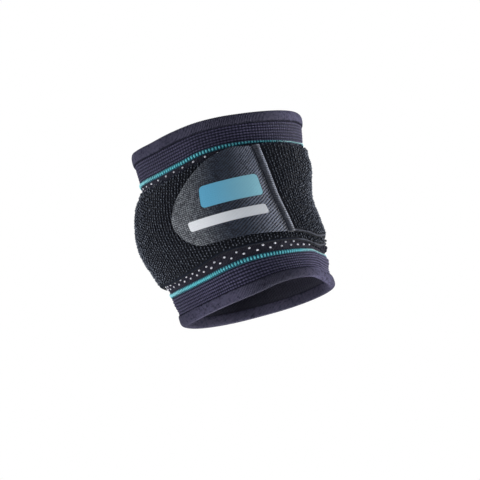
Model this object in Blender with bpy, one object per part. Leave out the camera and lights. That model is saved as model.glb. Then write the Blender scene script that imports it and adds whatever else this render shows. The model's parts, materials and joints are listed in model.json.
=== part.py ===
"""Elbow support as it is worn: a short knitted sleeve, and an elastic strap that wraps it and closes on itself.

Metres. +Z runs along the arm, from the forearm's hem up to the upper arm's hem. The front is -Y and +X is the
right side seen from the front. The origin is on the arm's axis, halfway along the sleeve. Angles are in degrees
round +Z, from the front towards +X.
"""

import math
from bisect import bisect_right
from collections import namedtuple

import bmesh
import bpy
from mathutils import Vector

# Knitted sleeve
GIRTH_RADIUS = 0.0440
KNIT_THICKNESS = 0.0018
CUFF_HEIGHT = 0.0108
HEM_HEIGHT = 0.0058
HEM_THICKNESS = 0.0036
HEM_PROUD = 0.0013
STRIPE_MARGIN = 0.0056
STRIPE_WIDTH = 0.0013
STRIPE_THICKNESS = 0.0008

# Elastic strap
STRAP_WIDTH = 0.0504
STRAP_THICKNESS = 0.0024
STRAP_EDGE_RADIUS = 0.0009
STRAP_TURN = 434.0

# Closing tab at the strap's end
TAB_LENGTH = 0.0554
TAB_THICKNESS = 0.0009
TAB_EDGE_RADIUS = 0.0003
HOOK_THICKNESS = 0.0010
HOOK_INSET = 0.0015
SEAM_ANGLE = 35.0
SEAM_SLANT = 15.3
SEAM_BOW = 2.75
SEAM_WIDTH = 0.0042
SEAM_THICKNESS = 0.0030

# Clearances between pieces
LAYER_GAP = 0.0004
PIECE_GAP = 0.0003

# Fineness of the meshes
SLEEVE_COLUMNS = 54
SLEEVE_ROWS = 20
LINING_ROWS = 13
HEM_SIDES = 8
STRIPE_SIDES = 5
STRAP_COLUMNS = 66
STRAP_ROWS = 8
TAB_ROWS = 8
SEAM_ROWS = 10
SEAM_SIDES = 8

# The sleeve's outer form along the arm. height is a share of half the sleeve's length, girth and shift are shares
# of its girth radius: how wide it is there, and how far its centre lies towards +X on the slightly bent elbow.
Section = namedtuple("Section", "height girth shift")
SECTIONS = (
    Section(-1.00, 0.944, -0.016),
    Section(-0.86, 0.944, -0.027),
    Section(-0.76, 0.952, -0.050),
    Section(-0.63, 0.967, -0.076),
    Section(-0.53, 0.974, -0.086),
    Section(-0.38, 0.996, -0.110),
    Section(-0.17, 1.032, -0.148),
    Section(0.00, 1.044, -0.158),
    Section(0.17, 1.046, -0.137),
    Section(0.38, 1.034, -0.088),
    Section(0.53, 1.020, -0.040),
    Section(0.65, 1.023, -0.008),
    Section(0.88, 1.047, 0.012),
    Section(1.00, 1.052, 0.020),
)
MIDDLE_GIRTH = SECTIONS[7].girth

# How far the knit's courses ride up or down round the arm, as shares of half the sleeve's length, at the two
# hems and the two stripes.
Wave = namedtuple("Wave", "angle lower_hem lower_stripe upper_stripe upper_hem")
WAVES = (
    Wave(-180, 0.000, 0.000, 0.000, 0.000),
    Wave(-130, -0.010, 0.006, 0.010, 0.010),
    Wave(-90, -0.020, 0.004, 0.012, 0.020),
    Wave(-78, -0.048, -0.030, -0.004, 0.022),
    Wave(-68, -0.066, -0.048, -0.022, 0.004),
    Wave(-48, -0.074, -0.064, -0.048, -0.022),
    Wave(-28, -0.060, -0.049, -0.036, -0.012),
    Wave(-12, -0.042, -0.014, 0.001, -0.002),
    Wave(4, -0.012, 0.014, 0.006, -0.009),
    Wave(20, 0.036, 0.019, -0.004, -0.024),
    Wave(37, 0.060, 0.016, -0.024, -0.032),
    Wave(53, 0.056, 0.015, -0.031, -0.030),
    Wave(67, -0.002, -0.030, -0.026, -0.022),
    Wave(90, -0.020, -0.024, 0.006, -0.022),
    Wave(130, -0.010, -0.010, 0.008, -0.010),
    Wave(180, 0.000, 0.000, 0.000, 0.000),
)

# Local folds and rucks of the knit. The spreads say how far each reaches; depth is a share of the girth radius.
Fold = namedtuple("Fold", "angle height angle_spread height_spread depth")
FOLDS = (
    Fold(92.0, -0.725, 30.0, 0.065, 0.044),
    Fold(88.0, -0.545, 28.0, 0.050, 0.052),
    Fold(-95.0, -0.680, 30.0, 0.060, 0.008),
)

# The strap's route from its seam round the arm: the turn so far as a share of the whole turn, how far the strap's
# middle rises as a share of its width, and how wide the stretched strap is there.
Run = namedtuple("Run", "turn rise width")
STRAP_ROUTE = (
    Run(0.000, 0.068, 0.950),
    Run(0.031, 0.044, 0.965),
    Run(0.058, 0.014, 0.975),
    Run(0.092, 0.028, 0.950),
    Run(0.120, 0.054, 0.940),
    Run(0.175, 0.040, 0.970),
    Run(0.258, 0.010, 1.000),
    Run(0.373, 0.000, 1.000),
    Run(0.488, 0.005, 1.010),
    Run(0.535, 0.004, 1.020),
    Run(0.569, -0.020, 1.020),
    Run(0.604, -0.060, 1.010),
    Run(0.638, -0.063, 1.005),
    Run(0.673, -0.040, 1.000),
    Run(0.698, -0.003, 1.000),
    Run(0.717, 0.023, 1.000),
    Run(0.742, 0.030, 1.000),
    Run(0.788, 0.026, 1.000),
    Run(0.829, 0.020, 1.000),
    Run(0.866, 0.000, 1.000),
    Run(0.899, -0.030, 1.000),
    Run(0.938, 0.018, 1.000),
    Run(1.000, 0.020, 1.000),
)

# The tab's outline from its rounded tip to the seam: length is a share of the tab's length, half_width of half the
# strap's width, and rise of the strap's width.
Station = namedtuple("Station", "length half_width rise")
TAB_STATIONS = (
    Station(0.000, 0.08, -0.050),
    Station(0.012, 0.17, -0.051),
    Station(0.034, 0.29, -0.052),
    Station(0.067, 0.43, -0.044),
    Station(0.105, 0.53, -0.035),
    Station(0.148, 0.62, -0.024),
    Station(0.222, 0.72, 0.008),
    Station(0.319, 0.81, 0.048),
    Station(0.440, 0.88, 0.080),
    Station(0.579, 0.92, 0.095),
    Station(0.700, 0.95, 0.101),
    Station(0.826, 0.95, 0.088),
    Station(1.000, 0.95, 0.068),
)

# Finish of each material: linear colour and roughness
Finish = namedtuple("Finish", "colour roughness")
FINISHES = {
    "charcoal_knit": Finish((0.052, 0.045, 0.068), 0.85),
    "teal_yarn": Finish((0.045, 0.330, 0.390), 0.60),
    "black_loop_elastic": Finish((0.012, 0.013, 0.017), 0.95),
    "grey_coated_cloth": Finish((0.075, 0.080, 0.095), 0.45),
    "black_hook_tape": Finish((0.010, 0.010, 0.012), 0.70),
}

# Sizes that follow
STRIPE_HEIGHT = STRAP_WIDTH / 2 + STRIPE_MARGIN
HALF_LENGTH = STRIPE_HEIGHT + CUFF_HEIGHT + HEM_HEIGHT
FIRST_LAYER = LAYER_GAP
SECOND_LAYER = FIRST_LAYER + STRAP_THICKNESS + LAYER_GAP
TAB_RADIUS = GIRTH_RADIUS * MIDDLE_GIRTH + SECOND_LAYER + HOOK_THICKNESS
OVERLAP_TURN = STRAP_TURN - 360.0


def clear_scene():
    for obj in list(bpy.data.objects):
        bpy.data.objects.remove(obj, do_unlink=True)


def interpolate(rows, at):
    """The other columns of a table where its first column is at, on a smooth curve through its rows."""
    keys = [row[0] for row in rows]
    at = min(max(at, keys[0]), keys[-1])
    index = min(bisect_right(keys, at), len(rows) - 1) - 1
    before = rows[max(index - 1, 0)]
    start = rows[index]
    end = rows[index + 1]
    after = rows[min(index + 2, len(rows) - 1)]
    span = end[0] - start[0]
    share = (at - start[0]) / span
    result = []
    for column in range(1, len(start)):
        slope_in = (end[column] - before[column]) / (end[0] - before[0]) * span
        slope_out = (after[column] - start[column]) / (after[0] - start[0]) * span
        result.append(
            start[column] * (2 * share**3 - 3 * share**2 + 1)
            + slope_in * (share**3 - 2 * share**2 + share)
            + end[column] * (3 * share**2 - 2 * share**3)
            + slope_out * (share**3 - share**2)
        )
    return result


def smoothstep(value):
    value = min(max(value, 0.0), 1.0)
    return value * value * (3 - 2 * value)


def wrapped(angle):
    """The same direction between -180 and 180 degrees."""
    return (angle + 180.0) % 360.0 - 180.0


def knit_height(angle, course):
    """The real height at this angle of the course that runs at this height on average."""
    lower_hem, lower_stripe, upper_stripe, upper_hem = interpolate(WAVES, wrapped(angle))
    if course < -STRIPE_HEIGHT:
        share = (course + HALF_LENGTH) / (HALF_LENGTH - STRIPE_HEIGHT)
        wave = lower_hem + (lower_stripe - lower_hem) * share
    elif course < STRIPE_HEIGHT:
        share = (course + STRIPE_HEIGHT) / (2 * STRIPE_HEIGHT)
        wave = lower_stripe + (upper_stripe - lower_stripe) * smoothstep(share)
    else:
        share = (course - STRIPE_HEIGHT) / (HALF_LENGTH - STRIPE_HEIGHT)
        wave = upper_stripe + (upper_hem - upper_stripe) * share
    return course + wave * HALF_LENGTH


def fold_depth(angle, height):
    """How far the folds push the knit out at this place."""
    depth = 0.0
    for fold in FOLDS:
        across = wrapped(angle - fold.angle) / fold.angle_spread
        along = (height / HALF_LENGTH - fold.height) / fold.height_spread
        depth += fold.depth * math.exp(-across * across - along * along)
    return depth * GIRTH_RADIUS


def over_knit(angle, height, lift):
    """The point at this angle and height that lies this far out from the knit's outer skin."""
    girth, shift = interpolate(SECTIONS, height / HALF_LENGTH)
    radius = GIRTH_RADIUS * girth + fold_depth(angle, height) + lift
    turn = math.radians(angle)
    return Vector((GIRTH_RADIUS * shift + radius * math.sin(turn), -radius * math.cos(turn), height))


def degrees_over(length, radius):
    """The angle that a length takes up on a circle."""
    return math.degrees(length / radius)


def material(name):
    finish = FINISHES[name]
    made = bpy.data.materials.new(name)
    made.use_nodes = True
    shader = made.node_tree.nodes["Principled BSDF"]
    shader.inputs["Base Color"].default_value = (*finish.colour, 1.0)
    shader.inputs["Roughness"].default_value = finish.roughness
    shader.inputs["Metallic"].default_value = 0.0
    made.diffuse_color = (*finish.colour, 1.0)
    return made


def add_grid(name, finish, columns, rows, place, ring=False, tube=False):
    """An object whose quads join columns by rows of places. A ring closes round its columns, a tube round its rows.

    Columns run round the arm and rows run up it, so that the faces point away from the arm.
    """
    grid = bmesh.new()
    verts = [[grid.verts.new(place(column, row)) for row in range(rows)] for column in range(columns)]
    for column in range(columns if ring else columns - 1):
        this = verts[column]
        following = verts[(column + 1) % columns]
        for row in range(rows if tube else rows - 1):
            above = (row + 1) % rows
            grid.faces.new((this[row], following[row], following[above], this[above]))
    mesh = bpy.data.meshes.new(name)
    grid.to_mesh(mesh)
    grid.free()
    mesh.shade_smooth()
    mesh.materials.append(material(finish))
    obj = bpy.data.objects.new(name, mesh)
    bpy.context.scene.collection.objects.link(obj)
    return obj


def close_ends(obj):
    """Caps the open ends of a tube."""
    grid = bmesh.new()
    grid.from_mesh(obj.data)
    bmesh.ops.holes_fill(grid, edges=[edge for edge in grid.edges if edge.is_boundary])
    bmesh.ops.recalc_face_normals(grid, faces=grid.faces)
    grid.to_mesh(obj.data)
    grid.free()


def thicken(obj, thickness, edge_radius=0.0):
    """Gives a cloth skin its wall, outwards, and rounds the rim where a radius is given."""
    wall = obj.modifiers.new("wall", "SOLIDIFY")
    wall.thickness = thickness
    wall.offset = 1.0
    wall.use_even_offset = True
    if edge_radius:
        rim = obj.modifiers.new("rim", "BEVEL")
        rim.width = min(edge_radius, thickness * 0.4)
        rim.segments = 1
        rim.limit_method = "ANGLE"
        rim.angle_limit = math.radians(60)


def add_sleeve():
    """The knitted tube between its two hems: its outer skin from bottom to top, then its inner skin back down."""
    reach = HALF_LENGTH - HEM_HEIGHT - PIECE_GAP

    def place(column, row):
        angle = 360.0 * column / SLEEVE_COLUMNS
        if row <= SLEEVE_ROWS:
            course = reach * (2 * row / SLEEVE_ROWS - 1)
            lift = 0.0
        else:
            course = reach * (1 - 2 * (row - SLEEVE_ROWS - 1) / LINING_ROWS)
            lift = -KNIT_THICKNESS
        return over_knit(angle, knit_height(angle, course), lift)

    rows = SLEEVE_ROWS + LINING_ROWS + 2
    return add_grid("knit_sleeve", "charcoal_knit", SLEEVE_COLUMNS, rows, place, ring=True, tube=True)


def add_ring(name, finish, course, lift, half_height, half_thickness, sides):
    """A band of oval section that runs round the sleeve along one course."""

    def place(column, row):
        angle = 360.0 * column / SLEEVE_COLUMNS
        turn = 2 * math.pi * row / sides
        height = knit_height(angle, course + half_height * math.sin(turn))
        return over_knit(angle, height, lift + half_thickness * math.cos(turn))

    return add_grid(name, finish, SLEEVE_COLUMNS, sides, place, ring=True, tube=True)


def add_hem(name, end):
    """A turned hem: end is 1 at the upper arm and -1 at the forearm."""
    course = end * (HALF_LENGTH - HEM_HEIGHT / 2)
    lift = HEM_PROUD - HEM_THICKNESS / 2
    return add_ring(name, "charcoal_knit", course, lift, HEM_HEIGHT / 2, HEM_THICKNESS / 2, HEM_SIDES)


def add_stripe(name, end):
    """A raised teal course beside the strap's zone."""
    lift = PIECE_GAP + STRIPE_THICKNESS / 2
    course = end * STRIPE_HEIGHT
    return add_ring(name, "teal_yarn", course, lift, STRIPE_WIDTH / 2, STRIPE_THICKNESS / 2, STRIPE_SIDES)


def seam_slant(side):
    """How far the slanted seam turns away from its middle, where side runs from -1 at the lower edge to 1."""
    return -side * SEAM_SLANT / 2 - side * side * SEAM_BOW


def strap_lift(turn):
    """How far the strap's inner side lies over the knit: it starts on its own tail and comes down behind it."""
    clear_of_tail = 5.0
    descent = 30.0
    lowered = smoothstep((turn - OVERLAP_TURN - clear_of_tail) / descent)
    return SECOND_LAYER + (FIRST_LAYER - SECOND_LAYER) * lowered


def add_strap():
    """The elastic band: from the seam to the right, round the back, over the front and under its own start."""
    start = SEAM_ANGLE + degrees_over(SEAM_WIDTH / 2 + PIECE_GAP, TAB_RADIUS)
    slant_fade = 40.0

    def place(column, row):
        turn = STRAP_TURN * column / (STRAP_COLUMNS - 1)
        side = 2 * row / STRAP_ROWS - 1
        angle = start + turn + seam_slant(side) * (1 - smoothstep(turn / slant_fade))
        rise, width = interpolate(STRAP_ROUTE, turn / STRAP_TURN)
        height = STRAP_WIDTH * (rise + side * width / 2)
        return over_knit(angle, height, strap_lift(turn))

    strap = add_grid("strap", "black_loop_elastic", STRAP_COLUMNS, STRAP_ROWS + 1, place)
    thicken(strap, STRAP_THICKNESS, STRAP_EDGE_RADIUS)
    return strap


def add_tab_layer(name, finish, lift, thickness, inset, edge_radius):
    """One layer of the tab, whose outline is drawn in by the inset."""
    end = SEAM_ANGLE - degrees_over(SEAM_WIDTH / 2 + PIECE_GAP, TAB_RADIUS)
    span = degrees_over(TAB_LENGTH, TAB_RADIUS)
    first = inset / TAB_LENGTH

    def place(column, row):
        station = TAB_STATIONS[column]
        side = 2 * row / TAB_ROWS - 1
        length = first + (1 - first) * station.length
        angle = end - span * (1 - length) + seam_slant(side) * length**2
        half = station.half_width * STRAP_WIDTH / 2
        half -= min(inset, half / 2)
        height = STRAP_WIDTH * station.rise + side * half
        return over_knit(angle, height, lift)

    layer = add_grid(name, finish, len(TAB_STATIONS), TAB_ROWS + 1, place)
    thicken(layer, thickness, edge_radius)
    return layer


def add_hook_tape():
    return add_tab_layer("hook_tape", "black_hook_tape", SECOND_LAYER, HOOK_THICKNESS, HOOK_INSET, 0.0)


def add_tab():
    lift = SECOND_LAYER + HOOK_THICKNESS + PIECE_GAP
    return add_tab_layer("tab_face", "grey_coated_cloth", lift, TAB_THICKNESS, 0.0, TAB_EDGE_RADIUS)


def add_seam():
    """The raised, slanted welt where the tab is sewn to the strap."""
    start = STRAP_ROUTE[0]
    half_turn = degrees_over(SEAM_WIDTH / 2, TAB_RADIUS)

    def place(column, row):
        turn = 2 * math.pi * column / SEAM_SIDES
        side = 2 * row / SEAM_ROWS - 1
        angle = SEAM_ANGLE + seam_slant(side) + half_turn * math.sin(turn)
        lift = SECOND_LAYER + SEAM_THICKNESS / 2 * (1 + math.cos(turn))
        return over_knit(angle, STRAP_WIDTH * (start.rise + side * start.width / 2), lift)

    seam = add_grid("tab_seam", "grey_coated_cloth", SEAM_SIDES, SEAM_ROWS + 1, place, ring=True)
    close_ends(seam)
    return seam


def main():
    clear_scene()
    support = bpy.data.objects.new("elbow_support", None)
    bpy.context.scene.collection.objects.link(support)
    pieces = [
        add_sleeve(),
        add_hem("upper_hem", 1),
        add_hem("lower_hem", -1),
        add_stripe("upper_stripe", 1),
        add_stripe("lower_stripe", -1),
        add_strap(),
        add_hook_tape(),
        add_tab(),
        add_seam(),
    ]
    for piece in pieces:
        piece.parent = support


main()
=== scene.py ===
"""Elbow support as it is worn: a knitted sleeve, a wrapped elastic strap and the tab that closes it.

Metres. +Z runs along the arm, from the forearm's hem up to the upper arm's hem. The front is -Y and +X is the
right side seen from the front. Angles are in degrees round +Z, from the front towards +X.
"""

import json
import math
from collections import namedtuple

import bmesh
import bpy
import numpy as np
from bpy.props import FloatProperty, FloatVectorProperty, IntProperty, PointerProperty
from mathutils import Matrix, Vector

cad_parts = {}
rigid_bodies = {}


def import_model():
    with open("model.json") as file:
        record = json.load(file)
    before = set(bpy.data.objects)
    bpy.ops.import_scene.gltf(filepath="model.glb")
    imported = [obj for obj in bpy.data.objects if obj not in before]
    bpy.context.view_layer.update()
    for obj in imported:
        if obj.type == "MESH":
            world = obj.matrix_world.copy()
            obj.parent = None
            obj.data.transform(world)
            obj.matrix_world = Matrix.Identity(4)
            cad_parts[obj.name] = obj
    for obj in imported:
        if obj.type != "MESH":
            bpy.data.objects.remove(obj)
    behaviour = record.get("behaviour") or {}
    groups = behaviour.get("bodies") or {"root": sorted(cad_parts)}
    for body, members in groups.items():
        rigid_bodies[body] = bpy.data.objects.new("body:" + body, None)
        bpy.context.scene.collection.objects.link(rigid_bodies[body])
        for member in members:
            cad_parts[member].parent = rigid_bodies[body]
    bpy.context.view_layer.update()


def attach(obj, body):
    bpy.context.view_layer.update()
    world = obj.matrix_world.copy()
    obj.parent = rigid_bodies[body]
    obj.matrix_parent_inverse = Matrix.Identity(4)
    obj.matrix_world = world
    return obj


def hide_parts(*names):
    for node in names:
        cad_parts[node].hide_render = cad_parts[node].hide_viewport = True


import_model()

bl_info = {
    "name": "Elbow Support",
    "version": (1, 0, 0),
    "blender": (4, 5, 0),
    "location": "3D View > Sidebar > Elbow Support",
    "description": "Builds a knitted elbow support with its wrapped strap and closing tab",
    "category": "Add Mesh",
}


def table(columns, *rows):
    """A short table: its rows, with these names for their columns."""
    row = namedtuple("Row", columns)
    return tuple(row(*values) for values in rows)


# Knitted sleeve
GIRTH_RADIUS = 0.0440
KNIT_THICKNESS = 0.0018
CUFF_HEIGHT = 0.0108
HEM_HEIGHT = 0.0058
HEM_THICKNESS = 0.0036
HEM_PROUD = 0.0013
HEM_TUCK = 0.0010
STRIPE_MARGIN = 0.0056
STRIPE_WIDTH = 0.0013
STRIPE_THICKNESS = 0.0008
WALES_PER_DOT = 4
DOTS_ROUND = 42

# Elastic strap
STRAP_WIDTH = 0.0504
STRAP_THICKNESS = 0.0024
STRAP_BODY = 0.0017
STRAP_RIB_PITCH = 0.0008
STRAP_TURN = 434.0

# Closing tab at the strap's end
TAB_LENGTH = 0.0554
TAB_THICKNESS = 0.0009
HOOK_THICKNESS = 0.0010
HOOK_INSET = 0.0015
HOOK_PITCH = 0.0012
WARP_PITCH = 0.0012
WEFT_PITCH = 0.00105
SEAM_ANGLE = 35.0
SEAM_SLANT = 15.3
SEAM_BOW = 2.75
SEAM_WIDTH = 0.0042
SEAM_THICKNESS = 0.0030

# Clearances between pieces
LAYER_GAP = 0.0004
PIECE_GAP = 0.0003

# The knit's soft shine
KNIT_SHEEN = 0.09
KNIT_SHEEN_TINT = (0.60, 0.56, 0.86)

# The sleeve's outer form along the arm. height is a share of half the sleeve's length. girth and shift are
# shares of its girth radius: how wide it is there, and how far its centre lies towards +X.
SECTIONS = table(
    "height girth shift",
    (-1.00, 0.944, -0.016),
    (-0.86, 0.944, -0.027),
    (-0.76, 0.952, -0.050),
    (-0.63, 0.967, -0.076),
    (-0.53, 0.974, -0.086),
    (-0.38, 0.996, -0.110),
    (-0.17, 1.032, -0.148),
    (0.00, 1.044, -0.158),
    (0.17, 1.046, -0.137),
    (0.38, 1.034, -0.088),
    (0.53, 1.020, -0.040),
    (0.65, 1.023, -0.008),
    (0.88, 1.047, 0.012),
    (1.00, 1.052, 0.020),
)
MIDDLE_GIRTH = SECTIONS[7].girth

# How far the knit's courses ride up or down round the arm, as shares of half the sleeve's length, at the two
# hems and the two stripes.
WAVES = table(
    "angle lower_hem lower_stripe upper_stripe upper_hem",
    (-180, 0.000, 0.000, 0.000, 0.000),
    (-130, -0.010, 0.006, 0.010, 0.010),
    (-90, -0.020, 0.004, 0.012, 0.020),
    (-78, -0.048, -0.030, -0.004, 0.022),
    (-68, -0.066, -0.048, -0.022, 0.004),
    (-48, -0.074, -0.064, -0.048, -0.022),
    (-28, -0.060, -0.049, -0.036, -0.012),
    (-12, -0.042, -0.014, 0.001, -0.002),
    (4, -0.012, 0.014, 0.006, -0.009),
    (20, 0.036, 0.019, -0.004, -0.024),
    (37, 0.060, 0.016, -0.024, -0.032),
    (53, 0.056, 0.016, -0.031, -0.030),
    (62, 0.024, 0.012, -0.029, -0.026),
    (73, -0.012, -0.026, -0.022, -0.022),
    (90, -0.020, -0.024, 0.006, -0.022),
    (130, -0.010, -0.010, 0.008, -0.010),
    (180, 0.000, 0.000, 0.000, 0.000),
)

# Local folds and rucks of the knit. The spreads say how far each reaches. height is a share of half the
# sleeve's length and depth of the girth radius.
FOLDS = table(
    "angle height angle_spread height_spread depth",
    (92.0, -0.725, 30.0, 0.065, 0.048),
    (96.0, -0.570, 21.0, 0.024, 0.074),
    (92.0, -0.512, 20.0, 0.024, 0.046),
    (88.0, 0.040, 35.0, 0.300, -0.048),
    (88.0, 0.530, 34.0, 0.095, -0.050),
    (-86.0, 0.520, 32.0, 0.080, -0.034),
    (-90.0, -0.620, 32.0, 0.100, -0.034),
)
RUCK = FOLDS[1]

# Where the dotted stitches stand round the arm, beside the lower stripe and beside the upper one. The knit
# is not stretched evenly, so their spacing changes.
DOT_RUNS = table(
    "dot below above",
    (0, -74.0, -76.0),
    (2, -55.5, -57.0),
    (4, -41.0, -39.5),
    (6, -28.3, -25.0),
    (8, -14.5, -8.5),
    (10, 3.5, 9.5),
    (12, 23.0, 27.5),
    (14, 40.0, 44.0),
    (16, 52.5, 61.0),
    (19, 74.0, 86.5),
    (24, 120.0, 130.0),
    (30, 175.0, 181.0),
    (36, 231.0, 232.5),
    (42, 286.0, 284.0),
)

# How full the two stripes stand round the arm: they lie tighter where the knit is tucked under the strap.
STRIPE_FULLNESS = table(
    "angle lower upper",
    (-180, 1.00, 1.00),
    (-70, 1.00, 0.95),
    (5, 1.00, 0.90),
    (22, 1.00, 0.62),
    (50, 0.84, 0.44),
    (68, 0.50, 0.34),
    (95, 0.42, 0.42),
    (130, 1.00, 1.00),
    (180, 1.00, 1.00),
)

# Painted light and shade round the arm: how pale the knit is painted at this angle, beside 1 for plain yarn,
# paler or darker to stand in for how the lights fall on it.
PAINTED_LIGHT = table(
    "angle lower_hem lower_cuff upper_cuff upper_hem",
    (-180, 1.00, 1.00, 1.00, 1.00),
    (-110, 1.00, 1.00, 1.00, 1.00),
    (-72, 0.95, 0.88, 0.85, 1.10),
    (-45, 1.75, 1.04, 0.80, 1.15),
    (-25, 1.50, 1.36, 0.90, 0.90),
    (0, 0.72, 1.00, 0.80, 0.64),
    (20, 0.52, 0.88, 1.02, 0.74),
    (38, 0.92, 1.20, 0.88, 0.88),
    (60, 2.50, 1.85, 0.92, 1.90),
    (78, 1.90, 1.50, 1.05, 1.85),
    (115, 1.00, 1.00, 1.00, 1.00),
    (180, 1.00, 1.00, 1.00, 1.00),
)
# The most that the painted light brightens the yarn
BRIGHTEST_PAINTED_LIGHT = max(max(row[1:]) for row in PAINTED_LIGHT)

# How far the two rows of dots stand from the lower stripe at this angle
LOWER_DOT_GAPS = table(
    "angle near far",
    (-180, 0.0036, 0.0053),
    (-60, 0.0036, 0.0053),
    (10, 0.0035, 0.0055),
    (28, 0.0034, 0.0053),
    (42, 0.0033, 0.0052),
    (60, 0.0031, 0.0050),
    (180, 0.0036, 0.0053),
)

# The rows of dots: beside which stripe each runs, 1 for the upper one and -1 for the lower, how far round it
# starts, in dots, and about which angle and how far from it the dots are tucked away under the strap
DOT_ROWS = table(
    "name end start tucked_about tucked_within",
    ("upper_dots", 1, 0.0, 20, 0),
    ("upper_dots_inner", 1, 0.5, 20, 72),
    ("lower_dots", -1, 0.0, 90, 24),
    ("lower_dots_inner", -1, 0.5, 90, 46),
)

# The strap's route from its seam round the arm: the turn so far as a share of the whole turn, how far the
# strap's middle rises as a share of its width, and how wide the stretched strap is there.
STRAP_ROUTE = table(
    "turn rise width",
    (0.000, 0.070, 0.954),
    (0.031, 0.054, 0.985),
    (0.058, 0.026, 0.999),
    (0.092, 0.040, 0.974),
    (0.120, 0.060, 0.952),
    (0.175, 0.040, 0.970),
    (0.258, 0.010, 1.000),
    (0.373, 0.000, 1.000),
    (0.488, 0.005, 1.010),
    (0.535, 0.004, 1.020),
    (0.569, -0.014, 1.032),
    (0.604, -0.050, 1.030),
    (0.638, -0.053, 1.025),
    (0.673, -0.030, 1.020),
    (0.698, 0.007, 1.020),
    (0.717, 0.023, 1.000),
    (0.742, 0.030, 1.000),
    (0.788, 0.026, 1.000),
    (0.829, 0.020, 1.000),
    (0.866, -0.008, 1.000),
    (0.899, -0.058, 1.000),
    (0.922, -0.044, 1.000),
    (0.945, -0.008, 1.000),
    (1.000, 0.020, 1.000),
)

# The tab's outline from its rounded tip to the seam: length is a share of its length, half_width of half
# the strap's width, and rise of the strap's width.
TAB_STATIONS = table(
    "length half_width rise",
    (0.000, 0.08, -0.050),
    (0.012, 0.17, -0.051),
    (0.034, 0.29, -0.052),
    (0.067, 0.43, -0.044),
    (0.105, 0.53, -0.035),
    (0.148, 0.62, -0.024),
    (0.222, 0.72, 0.008),
    (0.319, 0.81, 0.048),
    (0.440, 0.88, 0.080),
    (0.579, 0.92, 0.095),
    (0.700, 0.95, 0.101),
    (0.826, 0.95, 0.088),
    (1.000, 0.95, 0.068),
)

# The print on the tab: the middle of each bar along the tab and across it, half its sizes and its corners
Bar = namedtuple("Bar", "along across half_length half_width corner")
BLUE_BAR = Bar(0.0345, 0.0065, 0.0165, 0.0058, 0.0022)
WHITE_BAR = Bar(0.0290, -0.0068, 0.0205, 0.0026, 0.0013)
PRINT_SOFTNESS = 0.00012

# How each kind of stitch is made: its size along its lie, across it and out of the cloth, how much these
# sizes and its turn vary, in shares and radians, and the seed of what varies
Stitch = namedtuple("Stitch", "shape length width height unevenness turn seed")
TEAL_STITCH = Stitch("bead", STRIPE_WIDTH * 1.65, 0.00115, STRIPE_THICKNESS * 1.4, 0.08, 0.12, 5)
DOT = Stitch("bead", 0.00145, 0.00110, 0.0009, 0.10, 0.15, 9)
RUCK_STITCH = Stitch("bead", 0.0017, 0.0012, 0.0017, 0.45, 0.6, 23)
EDGE_STITCH = Stitch("bead", 0.0016, 0.0010, 0.0009, 0.20, 0.25, 3)
PILE_LOOP = Stitch("loop", 0.00135, 0.0013, 0.0016, 0.24, 0.18, 17)

# The soft lights: where each stands, in degrees round the support and above its middle, and how wide it is
LAMPS = table(
    "name azimuth elevation width",
    ("left_light", -45, -28, 0.70),
    ("left_low", -75, -28, 0.70),
    ("left_rim", -78, 28, 0.70),
    ("right_light", 45, -28, 0.70),
    ("right_rim", 115, -16, 1.10),
)
LAMP_HEIGHT = 1.4
LAMP_DISTANCE = 1.5

# The camera, in metres and degrees, and the square picture, in pixels: ORIGIN_PIXEL is where the support's
# origin lies from its left and from its top.
CAMERA_DISTANCE = 1.4
CAMERA_ELEVATION = -11.4
CAMERA_ROLL = 15.0
SENSOR_WIDTH = 36.0
PICTURE_SIDE = 480
ORIGIN_PIXEL = (237.0, 220.5)
PIXELS_PER_METRE = 1850.0

# Sizes that follow
STRIPE_HEIGHT = STRAP_WIDTH / 2 + STRIPE_MARGIN
HALF_LENGTH = STRIPE_HEIGHT + CUFF_HEIGHT + HEM_HEIGHT
FIRST_LAYER = LAYER_GAP
SECOND_LAYER = FIRST_LAYER + STRAP_THICKNESS + LAYER_GAP
TAB_RADIUS = GIRTH_RADIUS * MIDDLE_GIRTH + SECOND_LAYER + HOOK_THICKNESS
OVERLAP_TURN = STRAP_TURN - 360.0


# Places on the knit, the strap and the tab


def interpolate(rows, at):
    """The other columns of a table where its first column is at, on a smooth curve through its rows."""
    values = np.array(rows, dtype=float)
    keys = values[:, 0]
    at = np.clip(np.asarray(at, dtype=float), keys[0], keys[-1])
    index = np.clip(np.searchsorted(keys, at, side="right") - 1, 0, len(keys) - 2)
    before = values[np.maximum(index - 1, 0)]
    start = values[index]
    end = values[index + 1]
    after = values[np.minimum(index + 2, len(keys) - 1)]
    span = end[..., :1] - start[..., :1]
    share = (at[..., None] - start[..., :1]) / span
    slope_in = (end - before) / (end[..., :1] - before[..., :1]) * span
    slope_out = (after - start) / (after[..., :1] - start[..., :1]) * span
    curve = (
        start * (2 * share**3 - 3 * share**2 + 1)
        + slope_in * (share**3 - 2 * share**2 + share)
        + end * (3 * share**2 - 2 * share**3)
        + slope_out * (share**3 - share**2)
    )
    return [curve[..., column] for column in range(1, values.shape[1])]


def smoothstep(value):
    value = np.clip(value, 0.0, 1.0)
    return value * value * (3 - 2 * value)


def wrapped(angle):
    """The same direction between -180 and 180 degrees."""
    return (angle + 180.0) % 360.0 - 180.0


def degrees_over(length, radius):
    """The angle that a length takes up on a circle."""
    return math.degrees(length / radius)


def up_the_strap(course):
    """0 at the lower stripe, 1 at the upper one, and a soft rise between them."""
    return smoothstep((course + STRIPE_HEIGHT) / (2 * STRIPE_HEIGHT))


def together(*parts):
    """One table of places from the tables of their parts."""
    return np.stack(np.broadcast_arrays(*parts), axis=-1)


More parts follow.
